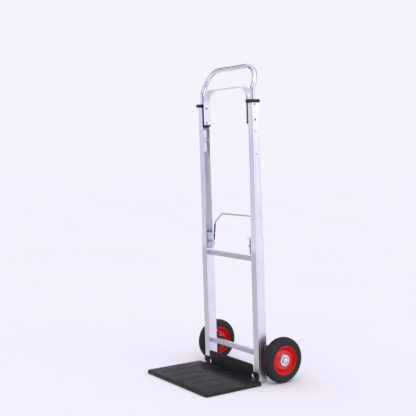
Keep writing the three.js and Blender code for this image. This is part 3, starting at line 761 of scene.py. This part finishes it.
# ---------- wheel arms ----------
def dress_wheel_arms():
    """The hinge brackets behind the rails, the arms that swing on them, and the headed pins between."""
    for side, flip in SIDES:
        eased(f"{side}_wheel_hinge", "pressing", 0.5, POWDER_COAT, "lower_frame")
        eased(f"{side}_wheel_arm", "pressing", 0.5, POWDER_COAT, f"{side}_wheel_arm")
        low, high = span("right_swing_pin")
        upwards = Matrix.Rotation(-math.pi / 2, 4, "Y")
        place = flip @ LEANING @ Matrix.Translation(((low.x + high.x) / 2, (low.y + high.y) / 2, 0)) @ upwards
        head, shank, under_head = (high.x - low.x) / 2, 4.0, high.z - 2.7
        section = [
            (0, low.z), (shank, low.z), (shank, under_head),
            (head, under_head), (head, high.z), (0, high.z),
        ]
        outline = rounded(section, [0, 0.8, 0.2, 0.3, 1.6, 0], 4)
        fitted(spun(f"{side}_swing_pin_turned", outline, place, 28), ZINC, "lower_frame", f"{side}_swing_pin")


# ---------- wheels ----------
WHEEL_LOW, WHEEL_HIGH = span("right_tyre", UPRIGHT)
WHEEL_X = (WHEEL_LOW.x + WHEEL_HIGH.x) / 2
WHEEL_RADIUS = (WHEEL_HIGH.z - WHEEL_LOW.z) / 2
AXLE_PLACE = UPRIGHT @ Matrix.Translation((0, (WHEEL_LOW.y + WHEEL_HIGH.y) / 2, WHEEL_RADIUS))
WHEEL_PLACE = AXLE_PLACE @ Matrix.Translation((WHEEL_X, 0, 0))

# half of the tyre's section, as (radius, x): the bead and the ringed sidewall, then the crown to its middle
SIDEWALL = [
    (59.4, 18.6), (59.8, 20.4), (61.2, 21.4), (62.4, 21.6), (63.4, 22.6), (65.2, 22.9), (66.0, 22.2),
    (67.0, 23.0), (70.4, 23.3), (71.4, 23.3), (72.0, 22.3), (72.8, 22.3), (73.4, 23.1), (75.4, 22.8),
]
CROWN = [
    (77.4, 22.1), (78.4, 22.0), (79.0, 20.7), (81.6, 19.2), (84.2, 15.9), (86.0, 12.2), (87.2, 7.8),
    (87.7, 3.4), (87.9, 0.0),
]


def crown_radius(x):
    """The crown's radius under the tread at a distance x from the middle."""
    for (r0, x0), (r1, x1) in zip(CROWN, CROWN[1:]):
        if x1 <= x <= x0:
            return r1 + (r0 - r1) * (x - x1) / (x0 - x1)
    return CROWN[0][0]


def tread_block(name):
    """One pair of slanted blocks bent to the crown, one each side of its middle, half a step apart."""
    step = 2 * math.pi / TREAD["count"]
    half_width = step * TREAD["share"] / 2
    stations = 6
    vertices, faces = [], []
    for sign, offset in ((1, 0.0), (-1, step / 2)):
        first = len(vertices)
        for k in range(stations):
            t = k / (stations - 1)
            x = TREAD["inner"] + (TREAD["outer"] - TREAD["inner"]) * t
            middle = offset + sign * TREAD["skew"] * step * t
            root, top = crown_radius(x) - TREAD["root"], crown_radius(x) + TREAD["height"]
            for turn, radius in (
                (middle - half_width, root), (middle - 0.8 * half_width, top),
                (middle + 0.8 * half_width, top), (middle + half_width, root),
            ):
                vertices.append((sign * x, radius * math.sin(turn), radius * math.cos(turn)))
        for k in range(stations - 1):
            for c in range(4):
                d = (c + 1) % 4
                a, b = first + 4 * k, first + 4 * (k + 1)
                faces.append((a + c, a + d, b + d, b + c))
        last = first + 4 * (stations - 1)
        faces.append((first, first + 3, first + 2, first + 1))
        faces.append((last, last + 1, last + 2, last + 3))
    mesh = bpy.data.meshes.new(name)
    mesh.from_pydata([Vector(v) * MM for v in vertices], [], faces)
    facing_outwards(mesh)
    return new_piece(name, mesh)


def build_tyre(side, flip):
    """Moulded tyre: a rounded carcass, rings on its sidewalls, and slanted tread blocks round the crown."""
    half = smoothed(SIDEWALL + CROWN, 3)
    outline = [(p.x, p.y) for p in half] + [(p.x, -p.y) for p in reversed(half[:-1])]
    tyre = spun(f"{side}_tyre_moulded", outline, flip @ WHEEL_PLACE, 96)
    shaded(tyre, 60)
    step = 2 * math.pi / TREAD["count"]
    blocks = grown(tread_block(f"{side}_tread"), TREAD_BLOCKS, RUBBER, Count=TREAD["count"], Step=step)
    blocks.data.transform(flip @ WHEEL_PLACE @ Matrix.Scale(1 / MM, 4))
    facing_outwards(blocks.data)
    shaded(blocks, 30)
    fitted(tyre, RUBBER, f"{side}_wheel", f"{side}_tyre")
    fitted(blocks, RUBBER, f"{side}_wheel")


def build_rims(side, flip):
    """Two pressed dishes: a raised disc round the hub with one bead, a deep outer well and a rolled lip."""
    front = [
        (14.4, 13.0), (28.5, 13.0), (31.0, 14.2), (37.0, 13.4), (46.5, 4.4), (52.2, 3.4), (54.4, 6.5),
        (54.8, 17.0), (55.8, 19.2), (58.0, 19.2), (58.9, 17.6),
    ]
    behind = [
        (58.9, 0.4), (56.9, 0.4), (53.6, 1.0), (45.8, 2.2), (36.2, 11.4), (31.4, 12.2), (29.2, 11.2),
        (14.4, 11.2),
    ]
    radii = [0.3, 2.5, 2.5, 2.5, 2.5, 2.5, 3, 1.2, 1.2, 1.2, 1, 0.2, 0.2, 1, 1.5, 1.5, 1, 1, 0.3]
    outline = [(p.x, p.y) for p in rounded(front + behind, radii, 4)]
    for half, facing in (("outer", 1), ("inner", -1)):
        turned = [(r, facing * x) for r, x in outline]
        rim = spun(f"{side}_{half}_rim_pressed", turned, flip @ WHEEL_PLACE, 80)
        fitted(rim, RED_ENAMEL, f"{side}_wheel", f"{side}_{half}_rim")


def build_hub(side, flip):
    """Zinc-plated hub spool: a rolled ring round a recess on each face, and a boss on the inner one."""
    ring = [(22.5, 13.3), (22.5, 16.4), (20.8, 17.4), (16.6, 17.4), (15.6, 14.2)]
    inner_ring = [(r, -x) for r, x in reversed(ring)]
    section = [
        (9.7, -24.5), (14.0, -24.5), (14.0, -14.0), *inner_ring, (14.0, -13.3),
        (14.0, 13.3), *ring, (13.0, 14.0), (12.8, 9.0), (9.7, 9.0),
    ]
    outline = [(p.x, p.y) for p in rounded(section, 0.5, 3)]
    hub = spun(f"{side}_wheel_hub_turned", outline, flip @ WHEEL_PLACE, 56)
    fitted(hub, BRIGHT_ZINC, f"{side}_wheel", f"{side}_wheel_hub")


def build_axle(side, flip):
    """The hub's nylon bush, and the stub axle with its washer and pressed cap."""
    bush_low, bush_high = span("right_wheel_bush", UPRIGHT)
    washer_low, washer_high = span("right_axle_washer", UPRIGHT)
    for node, low, high, bore, radius, edge, finish, body in (
        ("wheel_bush", bush_low, bush_high, 6.25, 9.4, 0.5, NYLON, "wheel"),
        ("axle_washer", washer_low, washer_high, 6.4, 11.0, 0.3, ZINC, "wheel_arm"),
    ):
        ring = rounded([(bore, low.x), (radius, low.x), (radius, high.x), (bore, high.x)], edge, 3)
        piece = spun(f"{side}_{node}_turned", ring, flip @ AXLE_PLACE, 40)
        fitted(piece, finish, f"{side}_{body}", f"{side}_{node}")
    low, high = span("right_axle_cap", UPRIGHT)
    cap_edge, bore, sheet = (high.z - low.z) / 2, 6.3, 0.7
    cap = rounded(
        [
            (0, high.x), (5.2, high.x), (6.8, high.x - sheet), (cap_edge, low.x + 0.9), (cap_edge, low.x),
            (bore, low.x), (bore, low.x + sheet), (0, low.x + sheet),
        ],
        [0, 1.5, 1.5, 0.5, 0.3, 0.1, 0.1, 0], 4,
    )
    pressed = spun(f"{side}_axle_cap_pressed", cap, flip @ AXLE_PLACE, 40)
    fitted(pressed, BRIGHT_ZINC, f"{side}_wheel_arm", f"{side}_axle_cap")
    low, high = span("right_stub_axle", UPRIGHT)
    head, head_end, shank = (high.z - low.z) / 2, low.x + 3.3, 6
    section = [(0, low.x), (head, low.x), (head, head_end), (shank, head_end), (shank, high.x), (0, high.x)]
    outline = rounded(section, [0, 1.6, 0.3, 0.2, 1, 0], 4)
    axle = spun(f"{side}_stub_axle_turned", outline, flip @ AXLE_PLACE, 32)
    fitted(axle, ZINC, f"{side}_wheel_arm", f"{side}_stub_axle")


# ---------- rivets ----------
# half outlines of a rivet's head 1 mm in radius, as (radius, height). The blind rivet's head keeps the deep
# hole that its mandrel leaves; the flat one clears the lower rail when the upper frame slides in.
BLIND_HEAD = [
    (0, -0.3), (0.44, -0.3), (0.44, 0.33), (0.52, 0.38), (0.68, 0.3), (0.9, 0.13), (1.0, 0), (0.6, 0),
    (0.6, -0.4), (0, -0.4),
]
FLAT_HEAD = [(0, 0.07), (0.28, 0.07), (0.34, 0.12), (0.82, 0.12), (1.0, 0), (0.6, 0), (0.6, -0.4), (0, -0.4)]


def rivet_head(name, outline):
    """A rivet's head along Z, from its half outline."""
    upwards = Matrix.Scale(MM, 4) @ Matrix.Rotation(-math.pi / 2, 4, "Y")
    return spun(name, outline, upwards, 16)


def rivet_set(name, body, spots, radius_mm, head, finish):
    """Rivets at (place matrix, position, outward direction) spots, as one piece."""
    mesh = bpy.data.meshes.new(name)
    mesh.from_pydata([place @ Vector(position) for place, position, _ in spots], [], [])
    outwards = [(place.to_3x3() @ Vector(direction)).normalized() for place, _, direction in spots]
    directions = mesh.attributes.new("outwards", "FLOAT_VECTOR", "POINT")
    directions.data.foreach_set("vector", [c for d in outwards for c in d])
    rivets = grown(new_piece(name, mesh), FASTENERS, finish, Fastener=head, Size=float(radius_mm))
    facing_outwards(rivets.data, 0.001)
    fitted(shaded(rivets), finish, body)


def on_both_sides(positions, direction):
    """Spots at (x, y, s) positions in the rails' frame, with the same on the other side of the truck."""
    return [(flip @ LEANING, position, direction) for position in positions for _, flip in SIDES]


def add_rivets():
    """Small rivets that hold the clamp blocks, strikers, lock housings, hinges, base plate and rims."""
    head = rivet_head("blind_rivet_head", BLIND_HEAD)
    flat_head = rivet_head("flat_rivet_head", FLAT_HEAD)
    channel_low, channel_high = span("right_upper_rail")
    middle = (channel_low.y + channel_high.y) / 2 - 3
    clamp, striker = span("right_grip_clamp"), span("right_upper_striker")
    clamp_top = 999             # of the block; its stud stands higher
    clamp_s, foot_s = (clamp[0].z + clamp_top) / 2, striker[0].z + 7
    outer = on_both_sides([(channel_high.x, middle, s) for s in (clamp_s, foot_s)], (1, 0, 0))
    rivet_set("upper_rail_flat_rivets", "upper_frame", outer, 2.9, flat_head, RIVET_ZINC)
    foot = on_both_sides([(striker[1].x - 2, middle, foot_s)], (-1, 0, 0))
    rivet_set("striker_rivets", "upper_frame", foot, 2.9, head, RIVET_ZINC)

    bay = span("right_lock_housing")
    base, low_s, high_s = bay[1].x - 2, bay[0].z + 9, bay[1].z - 8
    leaf = span("right_wheel_hinge")
    leaf_back = span("right_lower_rail")[1].y + GAP + 2.5
    leaf_x = [(leaf[0].x + leaf[1].x) / 2 + d for d in (-10, 10)]
    leaf_s = (leaf[0].z + 20, leaf[1].z - 20)
    lower = on_both_sides([(base, 13, low_s), (base, 22.5, low_s), (base, 18, high_s)], (-1, 0, 0))
    lower += on_both_sides([(x, leaf_back, s) for x in leaf_x for s in leaf_s], (0, 1, 0))
    rivet_set("lower_frame_rivets", "lower_frame", lower, 2.1, head, RIVET_ZINC)

    plate_front = -2.9
    plate = on_both_sides([(x, plate_front, s) for s in (33, 24) for x in (158, 173)], (0, -1, 0))
    rivet_set("base_plate_rivets", "lower_frame", plate, 3.0, head, POWDER_COAT)

    r = RIM_RIVET
    for side, flip in SIDES:
        spots = [(flip @ WHEEL_PLACE, (sign * r["face"], r["y"], r["z"]), (sign, 0, 0)) for sign in (1, -1)]
        rivet_set(f"{side}_rim_rivet", f"{side}_wheel", spots, r["radius"], head, BRIGHT_ZINC)
    for template in (head, flat_head):
        bpy.data.objects.remove(template)


# ---------- studio ----------
def card(name, direction_degrees, distance, width, low, high, brightness):
    """An upright glowing card that only mirrors can see. Direction 0 is the front, 90 the right side."""
    turn = math.radians(direction_degrees)
    out = Vector((math.sin(turn), -math.cos(turn), 0))
    across = Vector((out.y, -out.x, 0))
    ends = [out * distance - across * width / 2, out * distance + across * width / 2]
    corners = [ends[i] + Vector((0, 0, z)) for i, z in ((0, low), (1, low), (1, high), (0, high))]
    mesh = bpy.data.meshes.new(name)
    mesh.from_pydata(corners, [], [(0, 1, 2, 3)])
    material = bpy.data.materials.new(name)
    material.use_nodes = True
    tree = material.node_tree
    tree.nodes.clear()
    glow = add_node(tree, "ShaderNodeEmission", {"Color": linear("#e9e6f6"), "Strength": brightness})
    add_node(tree, "ShaderNodeOutputMaterial", links={"Surface": glow.outputs[0]})
    mesh.materials.append(material)
    flag = new_piece(name, mesh)
    flag.visible_camera = False
    flag.visible_diffuse = False
    flag.visible_shadow = False
    flag.visible_transmission = False


def build_studio():
    """Pale seamless floor, even light from all round, a soft key from above, and cards for the metals."""
    scene = bpy.context.scene
    scene.view_settings.view_transform = "Standard"
    world = bpy.data.worlds.new("studio")
    scene.world = world
    world.use_nodes = True
    sky = world.node_tree.nodes["Background"]
    sky.inputs["Color"].default_value = linear("#f5f2fe")
    sky.inputs["Strength"].default_value = 1.0

    floor_mesh = bpy.data.meshes.new("seamless_floor")
    floor_radius, sides = 60, 64
    turns = [math.tau * k / sides for k in range(sides)]
    ring = [(floor_radius * math.cos(turn), floor_radius * math.sin(turn), 0) for turn in turns]
    floor_mesh.from_pydata(ring, [], [tuple(range(sides))])
    floor = new_piece("seamless_floor", floor_mesh)
    paper = new_finish("seamless_studio_paper", "none", Roughness=0.8, Specular_IOR_Level=0.0)
    colour_from(paper, pattern(paper, 1500), "#e8e6eb", "#eae8ed")
    floor_mesh.materials.append(paper["material"])

    key = bpy.data.objects.new("soft_key", bpy.data.lights.new("soft_key", "SUN"))
    key.data.angle = math.radians(55)
    key.data.energy = 0.75
    towards_key = Vector((0.75, -0.35, 1.3))
    key.rotation_euler = towards_key.to_track_quat("Z", "Y").to_euler()
    scene.collection.objects.link(key)

    # light and dark cards give the bright metals their bands; load_card stands where a load would.
    # Each has its direction, distance, width, lower and upper edge, and brightness.
    for name, turn, distance, width, low, high, brightness in (
        ("left_front_card_high", -50, 4.5, 3.4, 1.2, 4.5, 1.3),
        ("left_front_card_low", -50, 4.5, 3.4, 0.0, 1.2, 0.72),
        ("left_front_dark_strip", -62, 4.3, 3.2, 2.0, 2.9, 0.03),
        ("left_dark_card", -94, 4.5, 3.2, 0.0, 5.0, 0.03),
        ("rear_dark_card", -164, 4.5, 3.2, 0.0, 4.0, 0.03),
        ("right_dark_card", 97, 5.0, 0.9, 0.0, 4.0, 0.02),
        ("camera_side_card", 42, 5.0, 2.6, 0.0, 3.0, 0.02),
        ("right_window_card", 127, 4.5, 3.0, 1.45, 4.5, 2.4),
        ("load_card", 0, 0.02, 0.66, 0.02, 0.5, 0.66),
    ):
        card(name, turn, distance, width, low, high, brightness)


place_camera()
build_studio()
dress_rails()
build_grip()
build_arch()
dress_caps()
build_locks()
build_bail()
dress_toe_plate()
dress_wheel_arms()
for side_name, side_flip in SIDES:
    build_tyre(side_name, side_flip)
    build_rims(side_name, side_flip)
    build_hub(side_name, side_flip)
    build_axle(side_name, side_flip)
add_rivets()
